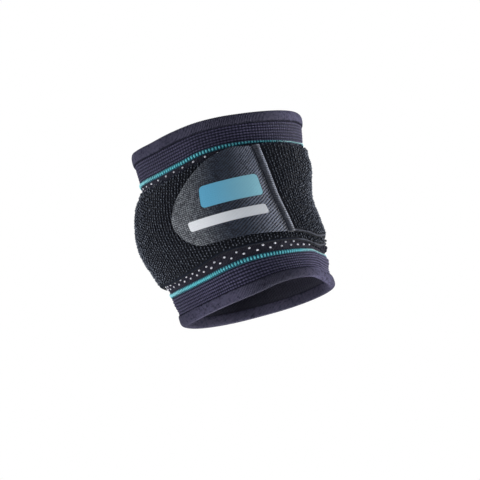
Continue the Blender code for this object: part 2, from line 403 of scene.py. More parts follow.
def knit_height(angle, course):
    """The real height at this angle of the course that runs at this height on average."""
    lower_hem, lower_stripe, upper_stripe, upper_hem = interpolate(WAVES, wrapped(angle))
    rim = HALF_LENGTH - STRIPE_HEIGHT
    lower = lower_hem + (lower_stripe - lower_hem) * (course + HALF_LENGTH) / rim
    middle = lower_stripe + (upper_stripe - lower_stripe) * up_the_strap(course)
    upper = upper_stripe + (upper_hem - upper_stripe) * (course - STRIPE_HEIGHT) / rim
    wave = np.where(course < -STRIPE_HEIGHT, lower, np.where(course < STRIPE_HEIGHT, middle, upper))
    return course + wave * HALF_LENGTH


def fold_depth(angle, height):
    """How far the folds push the knit out at this place."""
    depth = 0.0
    for fold in FOLDS:
        across = wrapped(angle - fold.angle) / fold.angle_spread
        along = (height / HALF_LENGTH - fold.height) / fold.height_spread
        depth = depth + fold.depth * np.exp(-across * across - along * along)
    return depth * GIRTH_RADIUS


def over_knit(angle, height, lift):
    """The point at this angle and height that lies this far out from the knit's outer skin."""
    girth, shift = interpolate(SECTIONS, height / HALF_LENGTH)
    radius = GIRTH_RADIUS * girth + fold_depth(angle, height) + lift
    turn = np.radians(angle)
    east = GIRTH_RADIUS * shift + radius * np.sin(turn)
    south = -radius * np.cos(turn)
    return together(east, south, height)


def dot_angle(dot, end):
    """The angle of this dot beside the upper stripe, end 1, or beside the lower one, end -1."""
    below, above = interpolate(DOT_RUNS, dot)
    return wrapped(above if end > 0 else below)


def on_wale(wale, course, lift):
    """The point over this wale, counted round the arm, and this course, a height on average."""
    below, above = interpolate(DOT_RUNS, wale / WALES_PER_DOT)
    angle = below + (above - below) * up_the_strap(course)
    return over_knit(angle, knit_height(angle, course), lift)


def seam_slant(side):
    """How far the slanted seam turns away from its middle, where side runs from -1 at the lower edge to 1."""
    return -side * SEAM_SLANT / 2 - side * side * SEAM_BOW


def strap_lift(turn):
    """How far the strap's inner side lies over the knit: it starts on its own tail and comes down from it."""
    clear_of_tail = 5.0
    descent = 30.0
    lowered = smoothstep((turn - OVERLAP_TURN - clear_of_tail) / descent)
    return SECOND_LAYER + (FIRST_LAYER - SECOND_LAYER) * lowered


def on_strap(turn, side, lift):
    """The point this far round the strap's route and out from its inner side, side -1 at its lower edge."""
    start = SEAM_ANGLE + degrees_over(SEAM_WIDTH / 2 + PIECE_GAP, TAB_RADIUS)
    slant_fade = 40.0
    angle = start + turn + seam_slant(side) * (1 - smoothstep(turn / slant_fade))
    rise, width = interpolate(STRAP_ROUTE, turn / STRAP_TURN)
    return over_knit(angle, STRAP_WIDTH * (rise + side * width / 2), strap_lift(turn) + lift)


def on_tab(length, across, lift):
    """The point on the tab at this share of its length and this far across it from its middle line."""
    end = SEAM_ANGLE - degrees_over(SEAM_WIDTH / 2 + PIECE_GAP, TAB_RADIUS)
    span = degrees_over(TAB_LENGTH, TAB_RADIUS)
    half_width, rise = interpolate(TAB_STATIONS, length)
    side = across / (half_width * STRAP_WIDTH / 2)
    angle = end - span * (1 - length) + seam_slant(side) * length**2
    return over_knit(angle, STRAP_WIDTH * rise + across, lift)


def on_seam(turn, side):
    """The point on the seam's welt, round its half-oval section and from its lower end at -1 to 1."""
    start = STRAP_ROUTE[0]
    half_turn = degrees_over(SEAM_WIDTH / 2, TAB_RADIUS)
    angle = SEAM_ANGLE + seam_slant(side) + half_turn * np.sin(turn)
    lift = SECOND_LAYER + SEAM_THICKNESS / 2 * (1 + np.cos(turn))
    return over_knit(angle, STRAP_WIDTH * (start.rise + side * start.width / 2), lift)


def painted_light_at(points, column):
    """How much painted light the knit gets at these places, from this column of the table of painted light.
    """
    angle = np.degrees(np.arctan2(points[..., 0], -points[..., 1]))
    return interpolate(PAINTED_LIGHT, angle)[PAINTED_LIGHT[0]._fields.index(column) - 1]


def unit(vectors):
    return vectors / np.linalg.norm(vectors, axis=-1, keepdims=True)


def bearings(place, across, along, step_across, step_along):
    """Points of a surface, with the directions across it, along it and out of it there."""
    here = place(across, along)
    right = unit(place(across + step_across, along) - here)
    out = unit(np.cross(right, place(across, along + step_along) - here))
    return here, right, np.cross(out, right), out


# Meshes


def add_object(name, data):
    obj = bpy.data.objects.new(name, data)
    bpy.context.scene.collection.objects.link(obj)
    return obj


def store(mesh, name, kind, values):
    """Puts a named number, or a named direction, on each point of a mesh."""
    field = "vector" if kind == "FLOAT_VECTOR" else "value"
    mesh.attributes.new(name, kind, "POINT").data.foreach_set(field, values.astype(np.float32).ravel())


def add_grid(name, points, cloth, ring=False, tube=False, marks=None):
    """An object whose quads join a table of places, columns by rows.

    Where it closes round its columns, a ring, or its rows, a tube, the table's last place repeats its first.
    cloth has the two cloth coordinates of each place, and marks has named numbers for each place.
    """
    columns = points.shape[0] - 1
    rows = points.shape[1] - 1
    kept = (slice(0, columns if ring else columns + 1), slice(0, rows if tube else rows + 1))
    verts = points[kept]
    across = verts.shape[1]
    column, row = np.meshgrid(np.arange(columns), np.arange(rows), indexing="ij")
    here = column * across
    following = (column + 1) % verts.shape[0] * across
    above = (row + 1) % across
    faces = np.stack((here + row, following + row, following + above, here + above), axis=-1)
    mesh = bpy.data.meshes.new(name)
    mesh.from_pydata(verts.reshape(-1, 3).tolist(), [], faces.reshape(-1, 4).tolist())
    corner_columns = np.stack([column, column + 1, column + 1, column], axis=-1).ravel()
    corner_rows = np.stack([row, row, row + 1, row + 1], axis=-1).ravel()
    layer = mesh.uv_layers.new(name="cloth")
    layer.data.foreach_set("uv", cloth[corner_columns, corner_rows].astype(np.float32).ravel())
    for mark, values in (marks or {}).items():
        store(mesh, mark, "FLOAT", np.broadcast_to(values, points.shape[:2])[kept])
    mesh.shade_smooth()
    return add_object(name, mesh)


def close_ends(obj):
    """Caps the open ends of a tube."""
    grid = bmesh.new()
    grid.from_mesh(obj.data)
    bmesh.ops.holes_fill(grid, edges=[edge for edge in grid.edges if edge.is_boundary])
    bmesh.ops.recalc_face_normals(grid, faces=grid.faces)
    grid.to_mesh(obj.data)
    grid.free()


def band_section(outer_rows, round_rows, inner_rows):
    """The closed outline of a flat band with round edges, up its outer side and down its inner one.

    Gives the share of the flat part, from -1 to 1, and the parts across and out of the edge's circle.
    """
    turn = np.linspace(0, math.pi, round_rows + 2)[1:-1]
    outer = np.linspace(-1, 1, outer_rows)
    inner = np.linspace(1, -1, inner_rows)
    flat = np.concatenate([outer, np.ones(round_rows), inner, -np.ones(round_rows), [-1]])
    across = np.concatenate([0 * outer, np.sin(turn), 0 * inner, -np.sin(turn), [0]])
    out = np.concatenate([1 + 0 * outer, np.cos(turn), -1 + 0 * inner, -np.cos(turn), [1]])
    return flat, across, out


# Node trees


class Value:
    """A socket of a node tree. An expression on it adds the Math nodes that it needs."""

    def __init__(self, graph, socket):
        self.graph = graph
        self.socket = socket

    def math(self, operation, *values):
        return self.graph.node("ShaderNodeMath", {"operation": operation}, dict(enumerate(values)))

    def __add__(self, other):
        return self.math("ADD", self, other)

    __radd__ = __add__

    def __sub__(self, other):
        return self.math("SUBTRACT", self, other)

    def __rsub__(self, other):
        return self.math("SUBTRACT", other, self)

    def __mul__(self, other):
        return self.math("MULTIPLY", self, other)

    __rmul__ = __mul__

    def __truediv__(self, other):
        return self.math("DIVIDE", self, other)

    def __pow__(self, other):
        return self.math("POWER", self, other)

    def __abs__(self):
        return self.math("ABSOLUTE", self)

    def wave(self):
        """A row of rounded ridges from 0 to 1, one for each whole number."""
        return abs(self.math("SINE", self * math.pi))

    def least(self, other):
        return self.math("MINIMUM", self, other)

    def most(self, other):
        return self.math("MAXIMUM", self, other)

    def output(self, name):
        return Value(self.graph, self.socket.node.outputs[name])


class Graph:
    """Adds nodes to one node tree."""

    def __init__(self, tree):
        self.tree = tree

    def node(self, kind, settings=None, values=None, output=0):
        made = self.tree.nodes.new(kind)
        for name, value in (settings or {}).items():
            setattr(made, name, value)
        for key, value in (values or {}).items():
            if isinstance(value, Value):
                self.tree.links.new(value.socket, made.inputs[key])
            else:
                made.inputs[key].default_value = value
        return Value(self, made.outputs[output])

    def mix(self, share, first, second):
        """A colour between two others, each of them a value or plain red, green and blue."""
        first, second = (end if isinstance(end, Value) else colour(end) for end in (first, second))
        return self.node("ShaderNodeMix", {"data_type": "RGBA"}, {0: share, 6: first, 7: second}, output=2)

    def ease(self, value, low, high):
        """0 below low, 1 above high, and a soft rise between them."""
        settings = {"interpolation_type": "SMOOTHSTEP"}
        return self.node("ShaderNodeMapRange", settings, {0: value, 1: low, 2: high, 3: 0.0, 4: 1.0})

    def noise(self, scale, detail=2.0):
        """A cloudy number about 0.5 that stays with the object."""
        place = self.node("ShaderNodeTexCoord", output="Object")
        return self.node("ShaderNodeTexNoise", None, {"Vector": place, "Scale": scale, "Detail": detail})

    def cloth(self):
        """The two cloth coordinates."""
        place = self.node("ShaderNodeUVMap", {"uv_map": "cloth"})
        parts = self.node("ShaderNodeSeparateXYZ", None, {0: place})
        return parts, parts.output("Y")

    def mark(self, name):
        """A number that is stored on the mesh, for a material."""
        return self.node("ShaderNodeAttribute", {"attribute_name": name}, output="Fac")

    def stored(self, name, kind="FLOAT"):
        """A number or a direction that is stored on the mesh, for Geometry Nodes."""
        return self.node("GeometryNodeInputNamedAttribute", {"data_type": kind}, {"Name": name})

    def bump(self, height, depth):
        return self.node("ShaderNodeBump", None, {"Strength": 1.0, "Distance": depth, "Height": height})


# Finishes


def finish(name, roughness, sheen=0.0, sheen_tint=(1, 1, 1), specular=0.3):
    """A new material, its graph, and a function that joins values to its shader."""
    material = bpy.data.materials.new(name)
    material.use_nodes = True
    tree = material.node_tree
    shader = tree.nodes["Principled BSDF"]
    shader.inputs["Roughness"].default_value = roughness
    shader.inputs["Sheen Weight"].default_value = sheen
    shader.inputs["Sheen Roughness"].default_value = 0.5
    shader.inputs["Sheen Tint"].default_value = (*sheen_tint, 1.0)
    shader.inputs["Specular IOR Level"].default_value = specular

    def join(**values):
        for socket, value in values.items():
            tree.links.new(value.socket, shader.inputs[socket.replace("_", " ")])

    return material, Graph(tree), join


def colour(rgb, strength=1.0):
    """A socket's colour from red, green and blue."""
    return (*(part * strength for part in rgb[:3]), 1.0)


def painted_light_yarn(graph, rgb):
    """A yarn's colour with painted light and shade, paler or darker round the arm."""
    return graph.mix(graph.mark("wear") * (1 / BRIGHTEST_PAINTED_LIGHT), colour(rgb, 0.0), colour(rgb, BRIGHTEST_PAINTED_LIGHT))


def knit_finish(knit):
    """Charcoal yarn: lighter on the ridges, painted shade near black in the grooves between courses and
    wales.
    """
    material, graph, join = finish("charcoal_knit", 0.8, KNIT_SHEEN, KNIT_SHEEN_TINT)
    wale, course = graph.cloth()
    yarn = graph.noise(900.0, 3.0)
    patch = graph.noise(60.0)
    # The ridges carry painted light and the grooves painted shade
    light = course.wave() * (wale.wave() ** 0.7 * 0.6 + 0.4) * (yarn * 1.3 + 0.35) * (patch * 0.6 + 0.70)
    cuff = graph.mix(graph.ease(light, 0.28, 0.95), knit.groove_colour, painted_light_yarn(graph, knit.yarn_colour))
    fine = (wale * 2.0).wave() * (yarn * 0.8 + 0.6)
    # Painted shade between the plain zone's fine wales
    plain = graph.mix(graph.ease(fine, 0.3, 1.0), knit.plain_groove, knit.plain_colour)
    in_cuff = graph.ease(graph.mark("ribbing"), 0.55, 0.95)
    relief = yarn * 0.6 + light * in_cuff + fine * (1.0 - in_cuff)
    join(Base_Color=graph.mix(in_cuff, plain, cuff), Normal=graph.bump(relief, 0.0005))
    return material


def hem_finish(knit):
    """The same yarn, turned over and lying smooth, with painted shade where it meets the cuff."""
    material, graph, join = finish("charcoal_hem", 0.8, KNIT_SHEEN, KNIT_SHEEN_TINT)
    wale = graph.cloth()[0]
    fine = (wale * 2.0).wave()
    yarn = graph.noise(700.0, 3.0)
    patch = graph.noise(90.0)
    # Painted shade along the hem's side that meets the cuff
    crease = 1.0 - graph.ease(graph.mark("crease"), 0.5, 0.9) * 0.7
    light = (fine * 0.5 + 0.5) * (yarn * 2.4 - 0.2) * (patch * 0.8 + 0.6) * crease
    base = graph.mix(graph.ease(light, 0.18, 0.95), knit.groove_colour, painted_light_yarn(graph, knit.hem_colour))
    join(Base_Color=base, Normal=graph.bump(yarn * 0.7 + fine * 0.9, 0.0007))
    return material


def yarn_finish(name, dark, light, crown, spread, roughness=0.9, sheen=0.0, specular=0.3, pale=None):
    """Stitches of one yarn, with painted shade below the two heights of crown, where they dip into the cloth.

    spread says how much a stitch's shade can darken it. A shade below 0 turns it towards the pale colour.
    """
    material, graph, join = finish(name, roughness, sheen, specular=specular)
    fibre = graph.noise(2500.0)
    # Painted shade at a stitch's foot and painted light on its top
    height = graph.ease(graph.mark("crown"), *crown)
    shade = graph.mark("shade")
    light_share = height * (1.0 - shade.most(0.0) * spread) * (fibre * 0.5 + 0.75)
    base = graph.mix(light_share.least(1.0), dark, light)
    if pale is not None:
        base = graph.mix((0.0 - shade).most(0.0) * height, base, pale)
    join(Base_Color=base, Normal=graph.bump(fibre, 0.0001))
    return material


def thread_finish(name, rgb):
    """A plain laid-in thread."""
    material, graph, join = finish(name, 0.7, 0.1)
    along, around = graph.cloth()
    fibre = graph.noise(1800.0)
    twist = (along * 2.0 + around * 0.3).wave()
    base = graph.mix(twist * 0.6 + fibre * 0.4, colour(rgb, 0.7), rgb)
    join(Base_Color=base, Normal=graph.bump(twist + fibre * 0.5, 0.0001))
    return material


def strap_finish(strap):
    """The black ground of the elastic, with fine ribs across it."""
    material, graph, join = finish("black_loop_elastic", 0.95, 0.1)
    rib = (graph.cloth()[0] / STRAP_RIB_PITCH).wave()
    fibre = graph.noise(1500.0, 3.0)
    light = rib * 0.5 + fibre * 0.8 - 0.3
    base = graph.mix(graph.ease(light, 0.1, 1.0), strap.ground_colour, strap.loop_dark)
    join(Base_Color=base, Normal=graph.bump(rib * 0.5 + fibre, 0.0003))
    return material


def printed_bar(graph, x, y, bar):
    """1 within a printed bar with round corners, 0 outside it."""
    over_x = (abs(x - bar.along) - (bar.half_length - bar.corner)).most(0.0)
    over_y = (abs(y - bar.across) - (bar.half_width - bar.corner)).most(0.0)
    gap = (over_x * over_x + over_y * over_y) ** 0.5 - bar.corner
    return 1.0 - graph.ease(gap, -PRINT_SOFTNESS, PRINT_SOFTNESS)


def tab_finish(tab):
    """Grey coated cloth with a twill that shows more towards the seam, and a print of two plain bars."""
    material, graph, join = finish("grey_coated_cloth", 0.5, 0.05, specular=0.32)
    x, y = graph.cloth()
    along = x / TAB_LENGTH
    sine, cosine = math.sin(tab.twill_slope), math.cos(tab.twill_slope)
    wobble = (graph.noise(120.0) - 0.5) * 0.0006
    twill = ((x * sine - y * cosine + wobble) / tab.twill_pitch).wave()
    picks = ((x * cosine + y * sine) / (tab.twill_pitch * 1.3)).wave()
    weave = (x / WARP_PITCH).wave() * 0.35 + (y / WEFT_PITCH).wave() * 0.65
    to_seam = graph.ease(along, 0.30, 0.70)
    fibre = graph.noise(1400.0)
    patch = graph.noise(420.0)
    relief = twill * to_seam + weave * (1.0 - to_seam)
    uneven = relief * 0.8 + picks * to_seam * 0.2 + (fibre - 0.5) * 1.5 + (patch - 0.5) * 0.8
    shadow_share = (1.0 - graph.ease(uneven, 0.42, 0.85)) * (0.88 + 0.10 * to_seam)
    # The paler tip and seam end are partly the cloth's own gradient and partly painted sheen of the side
    # lights
    face = graph.mix(graph.ease(along, 0.14, 0.54), tab.tip_colour, tab.face_colour)
    face = graph.mix(graph.ease(along, 0.62, 0.94), face, tab.seam_colour)
    ground = graph.mix(shadow_share, face, tab.shadow_colour)
    # Painted shade on the tab's end beside the seam
    seam_shade = graph.ease(along, 0.955, 0.985) * (1.1 - fibre * 0.6)
    ground = graph.mix(seam_shade, ground, tab.shadow_colour)
    blue = graph.mix(graph.ease(x, 0.020, 0.054), tab.print_blue, tab.print_pale_blue)
    in_blue = printed_bar(graph, x, y, BLUE_BAR)
    in_white = printed_bar(graph, x, y, WHITE_BAR)
    worn = ((relief * 0.06 + fibre * 0.1) * 0.6 + 0.92).least(1.0)
    base = graph.mix(in_blue * worn, ground, blue)
    base = graph.mix(in_white * worn, base, tab.print_white)
    printed = in_blue.most(in_white)
    join(Base_Color=base, Roughness=0.40 + 0.25 * printed + fibre * 0.12)
    join(Normal=graph.bump(relief * (1.0 - printed * 0.7) + fibre * 0.5, 0.00025))
    return material


def seam_finish(tab):
    """The welt's grey twill, which lies across it, with painted shade on its flanks."""
    material, graph, join = finish("grey_seam_twill", 0.6, 0.15, specular=0.5)
    rib = graph.cloth()[1].wave()
    fibre = graph.noise(1400.0)
    patch = graph.noise(330.0)
    flank = graph.mark("flank")
    # Painted shade on the welt's flanks: darkest on the side by the tab, dimmer again on the strap's side
    ridge = graph.ease(flank, -0.30, 0.35) * (1.0 - graph.ease(flank, 0.55, 1.0) * 0.7)
    light = rib * 0.7 + (fibre - 0.5) * 0.9 + (patch - 0.5) * 1.8 + 0.12
    strength = graph.ease(light, 0.05, 0.80) * (ridge * 0.80 + 0.20)
    base = graph.mix(strength, tab.shadow_colour, tab.seam_colour)
    join(Base_Color=base, Normal=graph.bump(fibre + patch * 1.2 + rib * 0.7, 0.0003))
    return material


def hook_finish():
    """Black tape with rows of tiny hooks."""
    material, graph, join = finish("black_hook_tape", 0.5)
    along, across = graph.cloth()
    hooks = (along / HOOK_PITCH).wave() * (across / HOOK_PITCH).wave()
    base = graph.mix(hooks, (0.004, 0.004, 0.005), (0.03, 0.03, 0.034))
    join(Base_Color=base, Normal=graph.bump(hooks, 0.0006))
    return material


def plain_finish(name, rgb):
    """A surface of one even brightness, for the stage."""
    material = finish(name, 1.0, specular=0.0)[0]
    shader = material.node_tree.nodes["Principled BSDF"]
    shader.inputs["Base Color"].default_value = (0.0, 0.0, 0.0, 1.0)
    shader.inputs["Emission Color"].default_value = colour(rgb)
    shader.inputs["Emission Strength"].default_value = 1.0
    return material


# Repeated relief and stitches


def new_tree(name, inputs):
    """A Geometry Nodes tree with named inputs of these socket kinds, and what its group input gives."""
    tree = bpy.data.node_groups.new(name, "GeometryNodeTree")
    tree.interface.new_socket("Geometry", in_out="INPUT", socket_type="NodeSocketGeometry")
    for socket, kind in inputs.items():
        tree.interface.new_socket(socket, in_out="INPUT", socket_type="NodeSocket" + kind)
    tree.interface.new_socket("Geometry", in_out="OUTPUT", socket_type="NodeSocketGeometry")
    graph = Graph(tree)
    given = graph.node("NodeGroupInput")
    return tree, graph, {name: given.output(name) for name in ("Geometry", *inputs)}


def end_tree(graph, geometry, material):
    """Makes instances real, gives the finish and ends the tree."""
    real = graph.node("GeometryNodeRealizeInstances", None, {"Geometry": geometry})
    smooth = graph.node("GeometryNodeSetShadeSmooth", None, {"Geometry": real})
    made = graph.node("GeometryNodeSetMaterial", None, {"Geometry": smooth, "Material": material})
    ending = graph.tree.nodes.new("NodeGroupOutput")
    graph.tree.links.new(made.socket, ending.inputs["Geometry"])


def rib_tree():
    """Raises courses and wales out of a knitted mesh, from the numbers that are stored on it."""
    if "Ribs" in bpy.data.node_groups:
        return bpy.data.node_groups["Ribs"]
    tree, graph, given = new_tree("Ribs", {"Depth": "Float", "Crossing": "Float", "Material": "Material"})
    ridge = graph.stored("course").wave()
    bump = graph.stored("wale").wave()
    height = given["Depth"] * graph.stored("ribbing") * ridge * (1.0 - given["Crossing"] * (1.0 - bump))
    raised = {"Vector": graph.node("GeometryNodeInputNormal"), "Scale": height}
    offset = graph.node("ShaderNodeVectorMath", {"operation": "SCALE"}, raised)
    moved = graph.node("GeometryNodeSetPosition", None, {"Geometry": given["Geometry"], "Offset": offset})
    end_tree(graph, moved, given["Material"])
    return tree


def loop_shape(graph):
    """An open loop of round yarn, about one unit across."""
    arc_values = {"Resolution": 5, "Radius": 0.30, "Start Angle": -0.2, "Sweep Angle": math.pi + 0.4}
    arc = graph.node("GeometryNodeCurveArc", {"mode": "RADIUS"}, arc_values)
    round_yarn = graph.node("GeometryNodeCurvePrimitiveCircle", None, {"Resolution": 4, "Radius": 0.24})
    swept = graph.node("GeometryNodeCurveToMesh", None, {"Curve": arc, "Profile Curve": round_yarn})
    upright = {"Geometry": swept, "Rotation": (math.pi / 2, 0.0, 0.0)}
    return graph.node("GeometryNodeTransform", None, upright)


def bead_shape(graph):
    """A round stitch, one unit across."""
    return graph.node("GeometryNodeMeshUVSphere", None, {"Segments": 8, "Rings": 4, "Radius": 0.5})


def stitch_tree(shape):
    """Sets one stitch at each point, bead or loop.

    It lies along "lie", whose length is a share of the stitch's own, and stands out along "out".
    """
    name = "Stitches " + shape
    if name in bpy.data.node_groups:
        return bpy.data.node_groups[name]
    sizes = dict.fromkeys(("Length", "Width", "Height", "Unevenness", "Turn"), "Float")
    tree, graph, given = new_tree(name, {**sizes, "Seed": "Int", "Material": "Material"})
    stitch = bead_shape(graph) if shape == "bead" else loop_shape(graph)
    place = graph.node("GeometryNodeInputPosition")
    # How high each point stands in its stitch, for the painted shade at its foot
    crown = graph.node("ShaderNodeSeparateXYZ", None, {0: place}).output("Z") + 0.5
    marked = {"Geometry": stitch, "Name": "crown", "Value": crown}
    stitch = graph.node("GeometryNodeStoreNamedAttribute", {"data_type": "FLOAT", "domain": "POINT"}, marked)
    lie = graph.stored("lie", "FLOAT_VECTOR")

    def random(low, high, shift):
        values = {2: low, 3: high, "Seed": given["Seed"] + float(shift)}
        return graph.node("FunctionNodeRandomValue", {"data_type": "FLOAT"}, values, output=1)

    standing = {"primary_axis": "Z", "secondary_axis": "X"}
    axes = {0: graph.stored("out", "FLOAT_VECTOR"), 1: lie}
    stand = graph.node("FunctionNodeAxesToRotation", standing, axes)
    turn = random(0.0 - given["Turn"], given["Turn"], 1)
    tip = random(given["Turn"] * -0.6, given["Turn"] * 0.6, 2)
    angles = graph.node("ShaderNodeCombineXYZ", None, {0: tip, 2: turn})
    twist = graph.node("FunctionNodeEulerToRotation", None, {0: angles})
    local = {"rotation_space": "LOCAL"}
    rotation = graph.node("FunctionNodeRotateRotation", local, {0: stand, 1: twist})
    size = random(1.0 - given["Unevenness"], given["Unevenness"] + 1.0, 3)
    share = graph.node("ShaderNodeVectorMath", {"operation": "LENGTH"}, {0: lie}, output="Value")
    parts = {0: given["Length"] * size * share, 1: given["Width"] * size, 2: given["Height"] * size}
    scale = graph.node("ShaderNodeCombineXYZ", None, parts)
    placed = {"Points": given["Geometry"], "Instance": stitch, "Rotation": rotation, "Scale": scale}
    end_tree(graph, graph.node("GeometryNodeInstanceOnPoints", None, placed), given["Material"])
    return tree


def apply_tree(obj, tree, **values):
    """Runs a Geometry Nodes tree with these inputs and keeps its result as a plain mesh."""
    modifier = obj.modifiers.new(tree.name, "NODES")
    modifier.node_group = tree
    for item in tree.interface.items_tree:
        if item.in_out == "INPUT" and item.name in values:
            modifier[item.identifier] = values[item.name]
    scene_now = bpy.context.evaluated_depsgraph_get()
    made = bpy.data.meshes.new_from_object(obj.evaluated_get(scene_now))
    obj.modifiers.clear()
    made.name = obj.name
    obj.data = made
    return obj


def ribbed(obj, depth, crossing, material):
    return apply_tree(obj, rib_tree(), Depth=depth, Crossing=crossing, Material=material)


def sewn(name, stitch, place, across, along, steps, material, lie=(1.0, 0.0), shade=None):
    """Stitches at these places of a surface, as one mesh.

    place gives a point of the surface, and steps are small ones across it and along it. lie is how far each
    stitch lies across the surface and along it, and shade how dark it is, or else that is left to chance.
    """
    places, right, up, out = bearings(place, across, along, *steps)
    mesh = bpy.data.meshes.new(name)
    mesh.from_pydata(places.tolist(), [], [])
    store(mesh, "lie", "FLOAT_VECTOR", right * np.reshape(lie[0], (-1, 1)) + up * np.reshape(lie[1], (-1, 1)))
    store(mesh, "out", "FLOAT_VECTOR", out)
    if shade is None:
        shade = np.random.default_rng(stitch.seed).random(len(places))
    store(mesh, "shade", "FLOAT", shade)
    sizes = {"Length": stitch.length, "Width": stitch.width, "Height": stitch.height}
    chance = {"Unevenness": stitch.unevenness, "Turn": stitch.turn, "Seed": stitch.seed}
    return apply_tree(add_object(name, mesh), stitch_tree(stitch.shape), **sizes, **chance, Material=material)


def keep(obj, nodes):
    """Puts a finished piece on the support, in the place of its solids."""
    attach(obj, "root")
    if nodes:
        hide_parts(*nodes)


# What a user would change


def colour_setting(name, description, default):
    return FloatVectorProperty(name=name, description=description, default=default, subtype="COLOR")


def length_setting(name, description, default):
    return FloatProperty(name=name, description=description, default=default, unit="LENGTH")


def power_setting(name, description, default):
    return FloatProperty(name=name, description=description, default=default, unit="POWER")


class SUPPORT_PG_knit(bpy.types.PropertyGroup):
    """Sizes and colours of the knitted sleeve"""

    courses: IntProperty(
        name="Cuff courses", description="Ridges from the stripe to the hem", default=7, min=2
    )
    rib_depth: length_setting("Rib depth", "How far the cuff's ridges stand out", 0.00060)
    crossing: FloatProperty(
        name="Crossing", description="How deeply the wales cut the ridges", default=0.6, subtype="FACTOR"
    )
    yarn_colour: colour_setting("Yarn", "Colour of the knit's ridges", (0.084, 0.075, 0.140))
    # Painted shade in the knit's grooves, also used for the hems' and the ruck's darkest parts
    groove_colour: colour_setting("Grooves", "Colour between the ridges", (0.0045, 0.0048, 0.018))
    hem_colour: colour_setting("Hems", "Colour of the turned hems", (0.086, 0.079, 0.132))
    plain_colour: colour_setting("Plain knit", "Colour of the zone beside the strap", (0.024, 0.022, 0.040))
    # Painted shade between the plain zone's wales
    plain_groove: colour_setting("Plain grooves", "Colour between its wales", (0.005, 0.005, 0.009))
    teal_light: colour_setting("Teal", "Colour of the teal stitches", (0.130, 0.62, 0.69))
    teal_pale: colour_setting("Pale teal", "Colour of the teal drawn tight", (0.50, 0.74, 0.74))
    teal_dark: colour_setting("Deep teal", "Colour under the teal stitches", (0.003, 0.09, 0.14))
    dot_colour: colour_setting("Dots", "Colour of the dotted stitches", (0.95, 0.92, 1.0))


class SUPPORT_PG_strap(bpy.types.PropertyGroup):
    """Sizes and colours of the elastic strap"""

    column_pitch: length_setting("Column pitch", "Distance between columns of loops", 0.00195)
    loop_pitch: length_setting("Loop pitch", "Distance between loops in a column", 0.00145)
    ground_colour: colour_setting("Ground", "Colour under the loops", (0.003, 0.0035, 0.005))
    # Also the colour of the painted shade at the feet of the loops and edge stitches
    loop_dark: colour_setting("Dark loops", "Colour of the darkest loops", (0.0060, 0.0085, 0.0190))
    loop_light: colour_setting("Light loops", "Colour of the lightest loops", (0.205, 0.222, 0.262))
    # The edging's painted highlight
    edge_colour: colour_setting("Edging", "Colour of the edge's stitches", (0.080, 0.084, 0.105))


class SUPPORT_PG_tab(bpy.types.PropertyGroup):
    """Sizes and colours of the closing tab"""

    twill_pitch: length_setting("Twill pitch", "Distance between the twill's lines", 0.00125)
    twill_slope: FloatProperty(
        name="Twill slope", description="Slope of its lines", default=math.radians(33), subtype="ANGLE"
    )
    # The paler tip and seam end colours carry painted sheen as well as the cloth's own gradient
    tip_colour: colour_setting("Tip", "Colour of the coated cloth at the tip", (0.216, 0.228, 0.248))
    face_colour: colour_setting("Middle", "Colour of the cloth's middle", (0.029, 0.040, 0.066))
    seam_colour: colour_setting("Seam end", "Colour of the cloth by the seam", (0.205, 0.222, 0.290))
    shadow_colour: colour_setting("Weave shadow", "Colour between its yarns", (0.005, 0.006, 0.013))
    print_blue: colour_setting("Print blue", "Colour of the broad bar", (0.13, 0.46, 0.68))
    print_pale_blue: colour_setting("Print pale blue", "Colour of its end", (0.34, 0.70, 0.80))
    print_white: colour_setting("Print white", "Colour of the narrow bar", (0.86, 0.86, 0.88))


class SUPPORT_PG_stage(bpy.types.PropertyGroup):
    """The stage's backdrop and lights"""

    backdrop: colour_setting("Backdrop", "Colour of the floor and backdrop", (1.0, 1.0, 1.0))
    left_light: power_setting("Left", "Power of the light at the front left", 3.0)
    left_low: power_setting("Left low", "Power of the low light at the left", 16.0)
    left_rim: power_setting("Left rim", "Power of the light at the left side", 6.5)
    right_light: power_setting("Right", "Power of the light at the front right", 5.0)
    right_rim: power_setting("Right rim", "Power of the light at the right side", 40.0)
    fill_light: FloatProperty(name="Fill", description="Brightness of the even light", default=0.26)


# Operators


